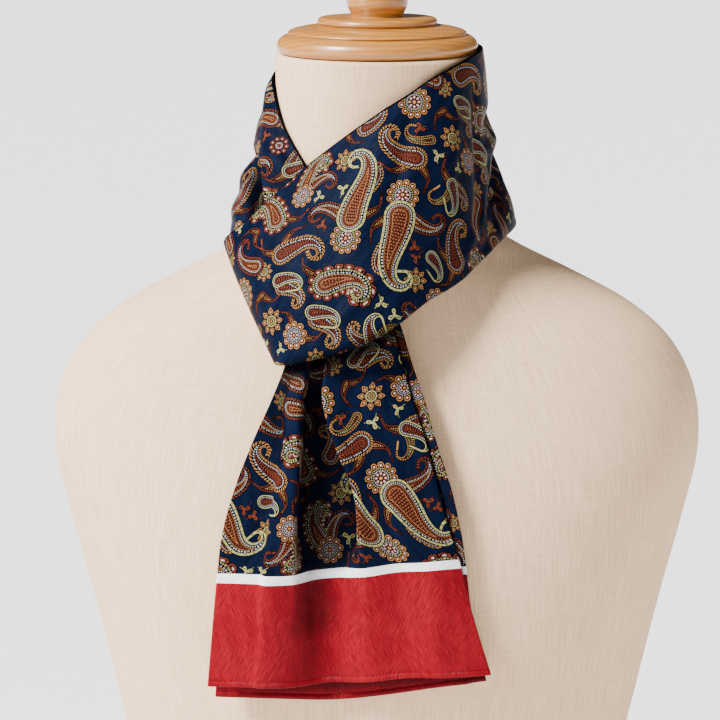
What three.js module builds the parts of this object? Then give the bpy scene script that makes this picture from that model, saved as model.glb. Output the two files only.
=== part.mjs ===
// Ascot scarf tied in a pulled-through loop, worn by a limbless dress form.
// Millimetres, +Z up. The front of the form faces -Y. The origin is the middle of the flat base.
import * as THREE from "three";
import { mergeVertices } from "three/addons/utils/BufferGeometryUtils.js";

// Driving dimensions
const NECK_RADIUS = 62;
const NECK_TOP = 613;
const GAP = 0.3;
const CLOTH_WALL = 1.5;
const BAND_WALL = 1.7;
const CAP_SIDES = 36;
const FORM_SIDES = 40;

const radians = (degrees) => (degrees * Math.PI) / 180;

// A table is a list of rows. Each row gets the named columns.
const table = (columns, rows) =>
  rows.map((row) => Object.fromEntries(columns.map((name, i) => [name, row[i]])));

const catmull = (a, b, c, d, t) =>
  b + 0.5 * t * (c - a + t * (2 * a - 5 * b + 4 * c - d + t * (3 * (b - c) + d - a)));

// The row at a fractional place u along a table, as a smooth curve through every column.
function rowAt(rows, u) {
  const first = Math.min(Math.max(Math.floor(u), 0), rows.length - 2);
  const pick = (i) => rows[Math.min(Math.max(i, 0), rows.length - 1)];
  const [a, b, c, d] = [first - 1, first, first + 1, first + 2].map(pick);
  const blend = (name) => [name, catmull(a[name], b[name], c[name], d[name], u - first)];
  return Object.fromEntries(Object.keys(b).map(blend));
}

// The rows of a table, with each span between two rows cut into equal steps.
function finerRows(rows, steps) {
  const count = (rows.length - 1) * steps;
  return Array.from({ length: count + 1 }, (_, i) => rowAt(rows, i / steps));
}

// ---------------------------------------------------------------- solids

function solid(vertices, faces) {
  const geometry = new THREE.BufferGeometry();
  const numbers = vertices.flatMap((p) => [p.x, p.y, p.z]);
  geometry.setAttribute("position", new THREE.Float32BufferAttribute(numbers, 3));
  geometry.setIndex(faces.flat());
  return geometry;
}

// A closed body through rings of points, lowest first, each running anticlockwise from above.
function ringLoft(rings) {
  const sides = rings[0].length;
  const total = (ring) => ring.reduce((sum, p) => sum.add(p), new THREE.Vector3());
  const middle = (ring) => total(ring).divideScalar(sides);
  const vertices = [...rings.flat(), middle(rings[0]), middle(rings.at(-1))];
  const faces = [];
  for (let k = 0; k < sides; k++) {
    const next = (k + 1) % sides;
    for (let r = 0; r < rings.length - 1; r++) {
      const [low, high] = [r * sides, (r + 1) * sides];
      faces.push([low + k, low + next, high + next], [low + k, high + next, high + k]);
    }
    const last = (rings.length - 1) * sides;
    faces.push([vertices.length - 2, next, k], [vertices.length - 1, last + k, last + next]);
  }
  return solid(vertices, faces);
}

// A surface is a grid of middle points with their normals. Rows run along the cloth.
function surfaceOf(grid) {
  const row = (i) => grid[Math.min(Math.max(i, 0), grid.length - 1)];
  const at = (i, j) => row(i)[Math.min(Math.max(j, 0), row(i).length - 1)];
  return grid.map((line, i) => line.map((point, j) => {
    const lengthwise = at(i + 1, j).clone().sub(at(i - 1, j));
    const crosswise = at(i, j + 1).clone().sub(at(i, j - 1));
    return { point, normal: lengthwise.cross(crosswise).normalize() };
  }));
}

// Draws the first and last rows of a surface inwards, so that stretches that meet stay apart.
function parted(surface) {
  const pull = (line, inner) => line.map(({ point, normal }, j) => {
    const inwards = inner[j].point.clone().sub(point).normalize();
    return { point: point.clone().addScaledVector(inwards, GAP / 2), normal };
  });
  const last = pull(surface.at(-1), surface.at(-2));
  return [pull(surface[0], surface[1]), ...surface.slice(1, -1), last];
}

// The closed wall of a thickness, half of it on each side of a surface.
function clothWall(surface, thickness) {
  const [along, across] = [surface.length, surface[0].length];
  const skin = (side) => surface.flat().map(({ point, normal }) =>
    point.clone().addScaledVector(normal, (side * thickness) / 2));
  const back = along * across;
  const faces = [];
  const quad = (a, b, c, d) => faces.push([a, b, c], [a, c, d]);
  for (let i = 0; i < along - 1; i++) {
    const [a, b] = [i * across, (i + 1) * across];
    for (let j = 0; j < across - 1; j++) {
      quad(a + j, b + j, b + j + 1, a + j + 1);
      quad(back + a + j, back + a + j + 1, back + b + j + 1, back + b + j);
    }
    quad(a, back + a, back + b, b);
    quad(b - 1, b + across - 1, back + b + across - 1, back + b - 1);
  }
  for (let j = 0; j < across - 1; j++) {
    const end = (along - 1) * across + j;
    quad(j, j + 1, back + j + 1, back + j);
    quad(end, back + end, back + end + 1, end + 1);
  }
  return solid([...skin(1), ...skin(-1)], faces);
}

// ---------------------------------------------------------------- dress form

const FORM = table(
  ["up", "halfWidth", "front", "rear", "squareness"],
  [
    [0, 155, 108, 108, 2.3],
    [45, 149, 105, 103, 2.3],
    [95, 143, 102, 97, 2.3],
    [150, 148, 108, 99, 2.3],
    [220, 163, 118, 106, 2.3],
    [280, 177, 124, 112, 2.3],
    [330, 190, 123, 115, 2.3],
    [370, 199, 116, 113, 2.3],
    [405, 197, 106, 108, 2.3],
    [435, 183, 96, 102, 2.25],
    [458, 158, 86, 95, 2.2],
    [478, 122, 77, 87, 2.1],
    [494, 90, 70, 79, 2],
    [507, 71, 65.5, 71, 2],
    [525, 63.5, 63, 65, 2],
    [555, 62, 62, 62.5, 2],
    [NECK_TOP, NECK_RADIUS, NECK_RADIUS, NECK_RADIUS, 2],
  ],
);

// One level of the form: a superellipse whose front and rear halves have their own depths.
function formRing(row) {
  return Array.from({ length: FORM_SIDES }, (_, k) => {
    const turn = (2 * Math.PI * k) / FORM_SIDES;
    const [c, s] = [Math.cos(turn), Math.sin(turn)];
    const bend = (value) => Math.sign(value) * Math.abs(value) ** (2 / row.squareness);
    const depth = s < 0 ? row.front : row.rear;
    return new THREE.Vector3(row.halfWidth * bend(c), depth * bend(s), row.up);
  });
}

const formBody = () => ringLoft(finerRows(FORM, 2).map(formRing));

// ---------------------------------------------------------------- neck cap

// A turned profile, as radius and height above the top of the neck.
const CAP_PROFILE = table(
  ["radius", "up"],
  [
    [0, 0], [57, 0], [59.8, 1], [61.2, 3.4], [61.2, 5.8], [59.8, 8.6], [57, 10.7], [55, 11.4],
    [53.9, 11.6], [53.9, 12.1], [54.5, 12.7], [53.2, 13.9], [50.5, 14.9], [47, 15.7],
    [41.5, 16.6], [37, 17.1], [35.6, 17.3], [35.6, 17.8], [36.5, 18.4], [36.5, 19.9],
    [35.4, 21.3], [32.5, 22], [17.5, 22.3], [15.8, 22.8], [16.6, 25], [18.3, 28.5],
    [18.6, 31.5], [18, 36], [14.6, 43], [11, 48.5], [10.2, 53],
    [12, 57.4], [15.2, 62], [15.8, 67.5], [13.6, 73], [8.6, 77.2], [0, 78.6],
  ],
);

function neckCap() {
  const profile = CAP_PROFILE.map((p) => new THREE.Vector2(p.radius, p.up));
  const turned = new THREE.LatheGeometry(profile, CAP_SIDES);
  turned.rotateX(Math.PI / 2);
  turned.deleteAttribute("normal");
  turned.deleteAttribute("uv");
  return mergeVertices(turned, 1e-4);
}

// ---------------------------------------------------------------- strands round the neck

// A strand is a run of sections, each from its top edge to its foot. "Turn" is the heading round
// the neck, from the front (0) by the viewer's left (90), the nape (180) and the viewer's right
// (270), to the front again (360). "Out" is the distance from the axis of the neck. The belly
// stands out from the straight line between the edges, and a peak under 1 lifts it to the top.
const STRAND = ["topTurn", "topOut", "topUp", "footTurn", "footOut", "footUp", "belly", "peak"];

// The scarf's main run, from inside the loop at the left, round the nape and across the front,
// to the turn at the left and back behind the tails.
const MAIN_RUN = table(STRAND, [
  [16, 80, 520, 33, 96, 488, 2, 1],
  [29, 71, 536, 41, 90, 504, 2, 1],
  [41, 65.5, 550, 49, 86.5, 521, 2, 1],
  [53, 64.2, 563, 56, 82.5, 540, 2, 0.9],
  [63, 63.8, 573, 64, 77.8, 552, 2, 0.9],
  [73, 63.6, 585, 78, 75.5, 557, 2, 0.9],
  [84, 63.6, 596, 92, 75.5, 556, 2, 0.9],
  [98, 63.6, 600, 107, 77, 544, 1.5, 0.9],
  [112, 63.6, 602, 120, 80.5, 520, 1, 0.9],
  [126, 63.6, 604, 130, 81.5, 505, 0, 0.9],
  [148, 63.6, 608, 148, 80, 503, -1, 1],
  [170, 63.6, 612, 169, 78.5, 505, -1, 1],
  [192, 63.6, 616, 191, 78.5, 507, -1, 1],
  [214, 63.6, 618.5, 214, 80, 509, -1, 1],
  [236, 63.6, 619, 237, 82, 510, -1.5, 1.1],
  [256, 63.8, 617.5, 259, 84, 510.5, -3.5, 1.3],
  [275, 64, 616.5, 277, 85, 510.5, -5, 1.5],
  [294, 64.4, 615, 296, 85.5, 507.5, -4, 1.5],
  [311, 65, 611, 313, 90, 500, -0.5, 1.2],
  [330, 66, 603.5, 331, 100, 488, 5, 1],
  [350, 67.3, 590.5, 344, 109, 480, 8, 1],
  [367, 69, 577.5, 353.5, 116.5, 469, 10, 1],
  [384, 69.5, 562.5, 362, 123, 459.5, 11, 0.95],
  [398, 72, 549, 370, 127.5, 453, 12, 0.9],
  [407, 85.5, 533, 377, 130, 448.5, 11, 0.85],
  [415, 96.5, 517, 382.5, 130, 444.5, 8, 0.8],
  [422, 102.5, 507, 387, 126.5, 441.5, 3.5, 0.8],
  [425.5, 100.5, 500, 390, 121, 440.5, 1.5, 0.9],
  [421, 96, 493, 389.5, 115, 441, 3, 1],
  [412, 96, 482, 388, 110.5, 441.5, 5, 1],
  [402, 89.5, 484, 383, 105.5, 447, 3, 1],
  [385, 83, 489, 374, 102.5, 454, 2, 1],
  [362, 79, 497, 357, 94.5, 469, 0, 1],
  [337, 76.5, 508, 337, 92, 486, 0, 1],
  [312, 73.5, 522, 313, 85.5, 500, 0, 1],
  [287, 71, 535, 288, 79.5, 513, 0, 1],
]);

// The rows of the main run between which each stretch lies, and its wall and facets.
const STRETCHES = table(["name", "from", "to", "steps", "across", "wall"], [
  ["scarf_left_strand", 0, 9, 2, 8, CLOTH_WALL],
  ["scarf_neck_band", 9, 15, 3, 10, BAND_WALL],
  ["scarf_front_panel", 15, 26, 2, 14, CLOTH_WALL],
  ["scarf_loop_return", 26, 35, 2, 8, CLOTH_WALL],
]);

// The lower fold at the left, which comes out from under the main run.
const LOWER_FOLD = table(STRAND, [
  [126, 67.5, 556, 129, 78.6, 508, 0, 0.55],
  [113, 67.5, 555, 115, 83, 504, 2, 0.55],
  [99, 67.5, 554, 101, 88, 502, 6, 0.55],
  [86, 67.5, 553, 85, 90.5, 501.5, 8.5, 0.55],
  [73, 67.8, 551, 70, 92, 500, 8, 0.55],
  [62, 69, 543, 60, 92.5, 495, 5, 0.55],
  [52, 72.5, 530, 51, 92, 486, 2, 0.7],
]);

const LOWER_FOLD_SPAN = { from: 0, to: 6, steps: 2, across: 10, wall: CLOTH_WALL };

function around(turn, out, up) {
  return new THREE.Vector3(-out * Math.sin(radians(turn)), -out * Math.cos(radians(turn)), up);
}

function strandPoint(row, v) {
  const foot = around(row.footTurn, row.footOut, row.footUp);
  const point = around(row.topTurn, row.topOut, row.topUp).lerp(foot, v);
  const outwards = new THREE.Vector3(point.x, point.y, 0).normalize();
  return point.addScaledVector(outwards, row.belly * Math.sin(Math.PI * v ** row.peak));
}

// The wall between two rows of a strand. A step beyond each end gives the normals there.
function strand(rows, { from, to, steps, across, wall }) {
  const first = Math.max(from - 1 / steps, 0);
  const last = Math.min(to + 1 / steps, rows.length - 1);
  const count = Math.round((last - first) * steps);
  const grid = Array.from({ length: count + 1 }, (_, i) => {
    const row = rowAt(rows, first + i / steps);
    return Array.from({ length: across + 1 }, (_, j) => strandPoint(row, j / across));
  });
  const skip = Math.round((from - first) * steps);
  const surface = surfaceOf(grid).slice(skip, skip + (to - from) * steps + 1);
  return clothWall(parted(surface), wall);
}

// ---------------------------------------------------------------- hanging tails

// One level of the pleated tail: the x of its left edge, the narrow pleat's two folds, the bottom
// of the deep pleat beside it, the fold of the broad pleat, its flat and its right edge. "Face" is
// how far the cloth stands in front of the neck's axis. The left edge, the deep pleat, the narrow
// pleat and the right edge lie behind the face by their own amounts. The skew lifts the right side.
const FRONT_TAIL = table(
  ["up", "face", "left", "narrowLeft", "narrowRight", "deep", "fold", "flat", "right",
    "leftBack", "narrowBack", "deepBack", "rightBack", "skew"],
  [
    [484, 99, -44, -40, -34, -30, -26, -14, 0, 3, 1, 2, 2, 0],
    [462, 109, -48, -43, -36, -32, -27, -9, 8, 5, 1, 3.5, 3, 0],
    [440, 114, -54, -49, -40, -37, -31, -5, 14, 7, 2, 4, 4, 0],
    [420, 120, -62, -54.5, -44.5, -40, -32, -2, 20, 7, 1, 8.2, 5, 0],
    [396, 126, -73, -55, -45.5, -37.5, -25, 3, 28, 8, 0.5, 10, 5, 0],
    [368, 131.5, -84, -60, -47.5, -36, -14, 10, 35.5, 8, 0.5, 10.6, 5.5, 0],
    [342, 134.5, -91, -64, -49, -35, -12, 14, 42, 8, 0.5, 9, 5.5, 2],
    [318, 135.5, -94, -66, -50, -33, -12, 17, 47.5, 7.5, 0.5, 8, 5.5, 9],
    [286, 136, -97, -68, -52, -30, -13, 22, 55.5, 6, 0.5, 8.5, 6, 8.5],
    [251.8, 136, -100, -70, -54, -29, -10, 26, 66.5, 5, 0.5, 6.5, 6.5, 6.5],
  ],
);

const BACK_TAIL = table(
  ["up", "face", "left", "middle", "right", "leftBack", "middleBack", "rightBack", "skew"],
  [
    [484, 93, -40, -20, 4, 2, 0, 2, 0],
    [462, 102.5, -44, -18, 13, 2, 0, 2, 0],
    [440, 107.5, -50, -17, 20, 3, 0, 0, 0],
    [420, 110.5, -58, -15, 27, 4, 0, -4, 0],
    [396, 114.5, -69, -15, 34, 6, 0, -6.5, 0],
    [368, 119.3, -80, -17, 43, 7, 0, -7, 0],
    [342, 124, -87, -20, 48.5, 7.5, 0, -4, 1],
    [318, 125.3, -90, -20, 51.5, 7.5, 0, -2.5, 5],
    [286, 125.8, -93, -18, 55, 7.5, 0, 2, 9],
    [241.7, 125.8, -96, -15, 64, 7.5, 0, 4, 11],
  ],
);
const TAIL_STEPS = 2;
const PLEAT_STEPS = 4;
// The x between which the skew of each tail comes in.
const FRONT_SKEW = [-70, 40];
const BACK_SKEW = [-40, 75];
// How far from its right edge the back tail starts to turn forward, in three even steps.
const TURN_STEP = 6;

function tailLevel(row, outline, skewSpan, steps) {
  const points = outline.map(([x, back]) => new THREE.Vector2(x, back - row.face));
  const curve = new THREE.SplineCurve(points);
  return curve.getPoints((outline.length - 1) * steps).map((p) => {
    const share = THREE.MathUtils.smoothstep(p.x, ...skewSpan);
    return new THREE.Vector3(p.x, p.y, row.up + row.skew * share);
  });
}

const frontTailLevel = (row) => tailLevel(row, [
  [row.left, row.leftBack],
  [row.narrowLeft, row.narrowBack],
  [row.narrowRight, 0],
  [row.deep, row.deepBack],
  [row.fold, 0],
  [row.flat, 0],
  [row.right, row.rightBack],
], FRONT_SKEW, PLEAT_STEPS);

const backTailLevel = (row) => tailLevel(row, [
  [row.left, row.leftBack],
  [row.middle, row.middleBack],
  [row.right - 3 * TURN_STEP, row.middleBack],
  [row.right - 2 * TURN_STEP, 0.1 * row.rightBack],
  [row.right - TURN_STEP, 0.65 * row.rightBack],
  [row.right, row.rightBack],
], BACK_SKEW, PLEAT_STEPS);

// The rows of a tail run downwards and its columns to the right, so its face looks forward.
const tail = (rows, level) =>
  clothWall(surfaceOf(finerRows(rows, TAIL_STEPS).map(level)), CLOTH_WALL);

// ---------------------------------------------------------------- the object

const PATTERNED = { color: 0x1b2a4a, roughness: 0.45, metalness: 0 };
const LINEN = { color: 0xe4dccb, roughness: 0.9, metalness: 0 };
const WOOD = { color: 0xd79a54, roughness: 0.3, metalness: 0 };

function named(name, geometry, look) {
  const mesh = new THREE.Mesh(geometry, new THREE.MeshStandardMaterial(look));
  mesh.name = name;
  return mesh;
}

const cap = named("neck_cap", neckCap(), WOOD);
cap.position.z = NECK_TOP + GAP;

const object = new THREE.Group();
object.add(
  named("form_body", formBody(), LINEN),
  cap,
  ...STRETCHES.map((stretch) => named(stretch.name, strand(MAIN_RUN, stretch), PATTERNED)),
  named("scarf_left_fold", strand(LOWER_FOLD, LOWER_FOLD_SPAN), PATTERNED),
  named("scarf_front_tail", tail(FRONT_TAIL, frontTailLevel), PATTERNED),
  named("scarf_back_tail", tail(BACK_TAIL, backTailLevel), PATTERNED),
);

export default object;
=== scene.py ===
import math

import bpy
import numpy as np
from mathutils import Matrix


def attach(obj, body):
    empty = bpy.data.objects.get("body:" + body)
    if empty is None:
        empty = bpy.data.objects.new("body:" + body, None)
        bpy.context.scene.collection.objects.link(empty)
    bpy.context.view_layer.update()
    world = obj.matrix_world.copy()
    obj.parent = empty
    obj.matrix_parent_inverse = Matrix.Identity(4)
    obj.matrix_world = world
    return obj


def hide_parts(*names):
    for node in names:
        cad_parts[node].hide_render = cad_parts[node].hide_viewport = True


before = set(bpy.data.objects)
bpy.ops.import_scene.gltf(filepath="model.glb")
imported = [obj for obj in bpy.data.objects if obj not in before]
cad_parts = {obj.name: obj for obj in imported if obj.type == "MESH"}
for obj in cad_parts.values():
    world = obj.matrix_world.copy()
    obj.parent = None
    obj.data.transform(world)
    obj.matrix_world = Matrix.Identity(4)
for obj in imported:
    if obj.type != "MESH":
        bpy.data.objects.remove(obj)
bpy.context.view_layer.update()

MM = 0.001

# ---- tables and smooth rows


def table(columns, rows):
    """Rows of numbers as one array, with the names of its columns."""
    return columns.split(), np.array(rows, float)


def smooth(rows, u):
    """The rows of an array at fractional places u, on a smooth curve through every column."""
    first = np.clip(np.floor(u).astype(int), 0, len(rows) - 2)
    a, b, c, d = (rows[np.clip(first + k, 0, len(rows) - 1)] for k in (-1, 0, 1, 2))
    t = (u - first)[:, None]
    return b + 0.5 * t * (c - a + t * (2 * a - 5 * b + 4 * c - d + t * (3 * (b - c) + d - a)))


def named(columns, values):
    """An array's columns by name."""
    return {name: values[:, i] for i, name in enumerate(columns)}


def unit(vectors):
    return vectors / np.maximum(np.linalg.norm(vectors, axis=-1, keepdims=True), 1e-12)


def along(points):
    """Distances along a line of points."""
    steps = np.linalg.norm(np.diff(points, axis=0), axis=-1)
    return np.concatenate([[0.0], np.cumsum(steps)])


def along_rows(grid):
    """How far along its row each point of a grid lies."""
    across = np.linalg.norm(np.diff(grid, axis=1), axis=-1)
    return np.concatenate([np.zeros((len(grid), 1)), np.cumsum(across, 1)], 1)


def blend(x, low, high):
    """0 on low's side, 1 on high's and a soft step between; high may be the smaller."""
    t = np.clip((x - low) / (high - low), 0, 1)
    return t * t * (3 - 2 * t)


# ---- strands round the neck

# Sections from top edge to foot, in millimetres and degrees of turn round the neck from the front
# by the viewer's left. A roll is the radius of the soft fold at the foot.
STRAND = "top_turn top_out top_up foot_turn foot_out foot_up belly peak roll"
MAIN_RUN = table(STRAND, [
    [16, 80, 520, 33, 96, 488, 2, 1, 0.8],
    [29, 71, 536, 41, 90, 504, 2, 1, 0.8],
    [41, 65.5, 550, 49, 86.5, 521, 2, 1, 1.3],
    [53, 64.2, 563, 56, 82.5, 540, 2, 0.9, 1.7],
    [63, 63.8, 573, 64, 77.8, 552, 2, 0.9, 1.7],
    [73, 63.6, 585, 78, 75.5, 557, 2, 0.9, 0.8],
    [84, 63.6, 596, 92, 75.5, 556, 2, 0.9, 0.8],
    [98, 63.6, 600, 107, 77, 544, 1.5, 0.9, 0.8],
    [112, 63.6, 602, 120, 80.5, 520, 1, 0.9, 1],
    [126, 63.6, 604, 130, 81.5, 505, 0, 0.9, 1.2],
    [148, 63.6, 608, 148, 80, 503, -1, 1, 1.4],
    [170, 63.6, 612, 169, 78.5, 505, -1, 1, 1.4],
    [192, 63.6, 616, 191, 78.5, 507, -1, 1, 1.4],
    [214, 63.6, 618.5, 214, 80, 509, -1, 1, 1.5],
    [236, 63.6, 619, 237, 82, 510, -1.5, 1.1, 1.6],
    [256, 63.8, 617.5, 259, 84, 510.5, -3.5, 1.3, 1.8],
    [275, 64, 616.5, 277, 85, 510.5, -5, 1.5, 2],
    [294, 64.4, 615, 296, 85.5, 507.5, -4, 1.5, 2],
    [311, 65, 611, 313, 90, 500, -0.5, 1.2, 2],
    [330, 66, 603.5, 331, 100, 488, 5, 1, 2.2],
    [350, 67.3, 590.5, 344, 109, 480, 8, 1, 2.4],
    [367, 69, 577.5, 353.5, 116.5, 469, 10, 1, 2.4],
    [384, 69.5, 562.5, 362, 123, 459.5, 11, 0.95, 2.2],
    [398, 72, 549, 370, 127.5, 453, 12, 0.9, 2],
    [407, 85.5, 533, 377, 130, 448.5, 11, 0.85, 1.8],
    [415, 96.5, 517, 382.5, 130, 444.5, 8, 0.8, 1.5],
    [422, 102.5, 507, 387, 126.5, 441.5, 3.5, 0.8, 0.8],
    [425.5, 100.5, 500, 390, 121, 440.5, 1.5, 0.9, 0.5],
    [421, 96, 493, 389.5, 115, 441, 3, 1, 0.5],
    [412, 96, 482, 388, 110.5, 441.5, 5, 1, 0.5],
    [402, 89.5, 484, 383, 105.5, 447, 3, 1, 0.5],
    [385, 83, 489, 374, 102.5, 454, 2, 1, 0.5],
    [362, 79, 497, 357, 94.5, 469, 0, 1, 0.5],
    [337, 76.5, 508, 337, 92, 486, 0, 1, 0.5],
    [312, 73.5, 522, 313, 85.5, 500, 0, 1, 0.5],
    [287, 71, 535, 288, 79.5, 513, 0, 1, 0.5],
])
LOWER_FOLD = table(STRAND, [
    [126, 67.5, 556, 129, 78.6, 508, 0, 0.55, 0.8],
    [113, 67.5, 555, 115, 83, 504, 2, 0.55, 1],
    [99, 67.5, 554, 101, 88, 502, 6, 0.55, 1.5],
    [86, 67.5, 553, 85, 90.5, 501.5, 8.5, 0.55, 1.8],
    [73, 67.8, 551, 70, 92, 500, 8, 0.55, 1.8],
    [62, 69, 543, 60, 92.5, 495, 5, 0.55, 1.2],
    [52, 72.5, 530, 51, 92, 486, 2, 0.7, 0.8],
])

MAIN_DEPTH, FOLD_DEPTH = 112, 62
WEAVE_STEP = 1.45
CLOTH_THICKNESS = 0.9

# Soft folds, listed one by one: from one row and share of the depth to another, as wide as this to either
# side and standing this far out, or in where it is negative, in millimetres. A bow bends the line.
CREASE = "from_row from_share to_row to_share width height bow"
MAIN_CREASES = table(CREASE, [
    # the front panel
    [19.6, 0.02, 21.2, 0.55, 7, -2.6, 3],
    [20.4, 0.02, 22.3, 0.6, 6, 1.6, 4],
    [18.2, 0.1, 19.6, 0.8, 8, 1.8, -4],
    [17.4, 0.15, 18.4, 0.9, 6, -2.0, 3],
    [16.2, 0.5, 19.4, 0.98, 5, 1.8, 5],
    [16.0, 0.66, 18.6, 1.0, 4, -1.6, 4],
    [23.4, 0.98, 21.8, 0.35, 7, -1.5, -4],
    [24.4, 0.95, 22.8, 0.3, 6, 1.6, -3],
    [25.2, 0.9, 24.2, 0.2, 5, -1.6, -2],
    [21.0, 0.7, 23.6, 0.93, 5, 1.2, 3],
    [22.2, 0.5, 24.6, 0.72, 6, -1.2, 3],
    # the waves of the outline at the right
    [14.9, 0.56, 17.6, 0.80, 8, -6.5, 2],
    [15.1, 0.36, 16.9, 0.40, 5, -3.6, 1],
    [15.0, 0.50, 17.0, 0.54, 5, 3.0, 1],
    [15.2, 0.86, 17.8, 0.93, 8, 2.2, 2],
    # round the neck
    [14.9, 0.05, 16.6, 0.6, 7, -2.2, 3],
    [14.2, 0.15, 15.6, 0.85, 7, 2.0, 3],
    [13.1, 0.3, 14.8, 0.95, 6, -2.0, -3],
    [12.2, 0.02, 13.6, 0.7, 8, 2.2, 4],
    [11.4, 0.25, 12.6, 0.95, 6, -2.4, 3],
    [10.3, 0.5, 12.0, 0.3, 7, 2.0, -3],
    [9.6, 0.75, 11.2, 0.6, 6, -2.2, 2],
    [10.0, 0.12, 11.6, 0.2, 6, -1.8, 2],
    [9.4, 0.35, 10.6, 0.42, 5, 1.8, 3],
    # the left strand and the loop's return
    [8.8, 0.1, 4.4, 0.4, 5, 1.4, 3],
    [8.6, 0.3, 3.6, 0.75, 5, -1.6, 4],
    [6.4, 0.4, 2.0, 0.6, 5, 1.3, 2],
    [4.6, 0.15, 1.2, 0.3, 4, -1.2, 2],
    [28.4, 0.3, 33.0, 0.4, 5, 1.2, 3],
    [29.0, 0.6, 34.4, 0.7, 5, -1.0, 3],
])
FOLD_CREASES = table(CREASE, [
    [0.6, 0.3, 4.2, 0.5, 5, -1.4, 3],
    [1.2, 0.6, 5.4, 0.75, 5, 1.4, 3],
    [2.4, 0.25, 5.6, 0.3, 4, 1.2, 2],
    [5.0, 0.0, 4.7, 0.8, 7, -6.0, 1],
    [0.7, 0.2, 2.3, 0.2, 6, -0.8, 0],
    [0.0, 0.8, 1.5, 0.75, 13, -1.5, 0],
    [5.5, 0.97, 6.0, 0.97, 6, 0.6, 0],
    [0.0, 0.98, 0.5, 0.95, 8, -1.7, 0],
])


def around(turn, out, up):
    """Points at a turn round the neck, a distance out from its middle and a height."""
    turn = np.radians(turn)
    return np.stack([-out * np.sin(turn), -out * np.cos(turn), up], -1)


def strand_points(rows, u, v):
    """Points of a strand at rows u and shares v of its depth, as a grid, and those rows' rolls."""
    columns, values = rows
    row = {name: value[:, None] for name, value in named(columns, smooth(values, u)).items()}
    top = around(row["top_turn"], row["top_out"], row["top_up"])
    foot = around(row["foot_turn"], row["foot_out"], row["foot_up"])
    share = v[None, :, None]
    point = top + (foot - top) * share
    outwards = unit(point * [1, 1, 0])
    rise = row["belly"] * np.sin(math.pi * v[None, :] ** row["peak"])
    return point + outwards * rise[..., None], row["roll"][:, 0]


def crease_heights(creases, u, v, run, depth):
    """How far the listed folds lift each point of a strand's grid, in millimetres."""
    columns, rows = creases
    across = v[None, :] * depth[:, None]
    lift = np.zeros(across.shape)
    for row in rows:
        crease = dict(zip(columns, row))
        ends = []
        for end in ("from", "to"):
            at, deep = (np.interp(crease[end + "_row"], u, values) for values in (run, depth))
            ends.append(np.array([at, crease[end + "_share"] * deep]))
        line = ends[1] - ends[0]
        length = np.linalg.norm(line)
        ahead = line / length
        x = (run[:, None] - ends[0][0]) * ahead[0] + (across - ends[0][1]) * ahead[1]
        y = (across - ends[0][1]) * ahead[0] - (run[:, None] - ends[0][0]) * ahead[1]
        share = np.clip(x / length, 0, 1)
        y = y - crease["bow"] * np.sin(math.pi * share)
        beyond = (x - share * length) / crease["width"]
        taper = np.sin(math.pi * (0.12 + 0.76 * share))
        lift += crease["height"] * taper * np.exp(-((y / crease["width"]) ** 2) - beyond ** 2)
    return lift


def grid_normals(grid):
    lengthwise, crosswise = np.gradient(grid, axis=0), np.gradient(grid, axis=1)
    return unit(np.cross(lengthwise, crosswise))


def even_places(line, step):
    """Places along a line of points, in steps of the line's own index, that are evenly spaced."""
    length = along(line)
    count = max(int(round(length[-1] / step)), 2)
    return np.interp(np.linspace(0, length[-1], count + 1), length, np.arange(len(line)))


def strand_grid(rows, depth, creases):
    """A strand's evenly spaced grid, creased, with its foot rolled under."""
    fine = np.linspace(0, len(rows[1]) - 1, 40 * len(rows[1]))
    middle, _ = strand_points(rows, fine, np.array([0.6]))
    places = even_places(middle[:, 0], WEAVE_STEP)
    u = np.interp(places, np.arange(len(fine)), fine)
    v = np.linspace(0, 1, int(depth / WEAVE_STEP) + 1)
    grid, roll = strand_points(rows, u, v)
    depths = np.linalg.norm(grid[:, -1] - grid[:, 0], axis=-1)
    lift = crease_heights(creases, u, v, along(grid[:, len(v) // 2]), depths)
    facing = grid_normals(grid)
    facing = facing * np.sign((facing * grid * [1, 1, 0]).sum(-1, keepdims=True))
    grid = grid + facing * lift[..., None]
    normal = facing[:, -1]
    down = unit(grid[:, -1] - grid[:, -2])
    centre = grid[:, -1] - normal * roll[:, None]
    bends = np.linspace(0, math.pi, 6)[1:]
    rolled = [centre + roll[:, None] * (normal * math.cos(a) + down * math.sin(a)) for a in bends]
    back = [rolled[-1] - down * x for x in (1.5, 3.5, 6)]
    return np.concatenate([grid, np.stack(rolled + back, 1)], 1)


# ---- cloth laid flat


def flattened(grid):
    """The grid laid flat as cloth would be: where each of its points lies on a table, in millimetres."""
    p = along_rows(grid)
    middle = grid.shape[1] // 2
    p = p - p[:, middle:middle + 1]
    centre, heading = np.zeros(2), 0.0
    chart = [np.stack([0 * p[0], p[0]], -1)]
    for row in range(1, len(grid)):
        move = grid[row] - grid[row - 1]
        sideways = unit(np.gradient(grid[row - 1], axis=0))
        slip = (move * sideways).sum(-1)
        advance = np.sqrt(np.maximum((move ** 2).sum(-1) - slip ** 2, 0))
        weight = np.linspace(-1, 1, len(slip))
        slope, step = np.polyfit(p[row - 1], advance, 1, w=1 - 0.5 * weight ** 2)
        ahead = np.array([math.cos(heading), math.sin(heading)])
        aside = np.array([-ahead[1], ahead[0]])
        centre = centre + ahead * step + aside * np.median(slip)
        heading -= slope
        aside = np.array([-math.sin(heading), math.cos(heading)])
        chart.append(centre + p[row][:, None] * aside)
    return relaxed(np.array(chart), grid)


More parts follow.
